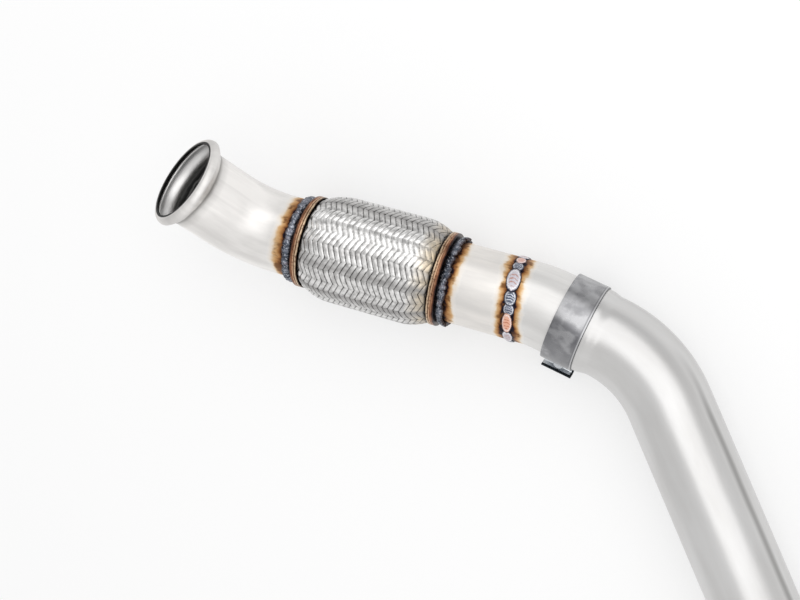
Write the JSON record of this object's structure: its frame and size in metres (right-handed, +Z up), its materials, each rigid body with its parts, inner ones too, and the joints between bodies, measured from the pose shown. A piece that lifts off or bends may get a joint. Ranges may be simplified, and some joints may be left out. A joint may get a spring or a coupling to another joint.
{
  "type": "exhaust mid pipe",
  "caption": "Exhaust mid pipe with a flared inlet elbow, a braided flex coupling, a welded stub, a clamped slip joint and a long bent outlet leg, lying at rest.",
  "frame": {"origin": "on the floor, under the middle of the part's box as it lies at rest", "axes": "+Y runs along the straight outlet leg, from its open end toward the bends; +Z is up; the inlet end lies toward -X and +Y"},
  "size_m": [0.4026, 0.7922, 0.1522],
  "materials": {
    "satin_tube": "satin stainless, straw and blue heat tint beside the welds",
    "dark_weld": "dark blue-grey oxidised weld",
    "pale_weld": "rippled weld with pink, straw and blue tint",
    "bronzed_collar": "stainless heat-tinted to bronze",
    "braid_wire": "bright drawn stainless wire",
    "thin_sheet": "bright thin sheet",
    "clamp_sheet": "satin rolled strip",
    "fastener": "plated steel"
  },
  "bodies": {
    "root": {"inlet_elbow": "satin_tube", "outlet_stub": "satin_tube", "slip_tube": "satin_tube", "mid_pipe": "satin_tube", "front_weld": "dark_weld", "rear_weld": "dark_weld", "seam_weld": "pale_weld", "flex_front_collar": "bronzed_collar", "flex_rear_collar": "bronzed_collar", "flex_braid": "braid_wire", "flex_bellows": "thin_sheet", "flex_liner": "thin_sheet", "clamp_band": "clamp_sheet", "clamp_bolt": "fastener", "clamp_nut": "fastener", "clamp_washer_upper": "fastener", "clamp_washer_lower": "fastener"}
  },
  "joints": []
}
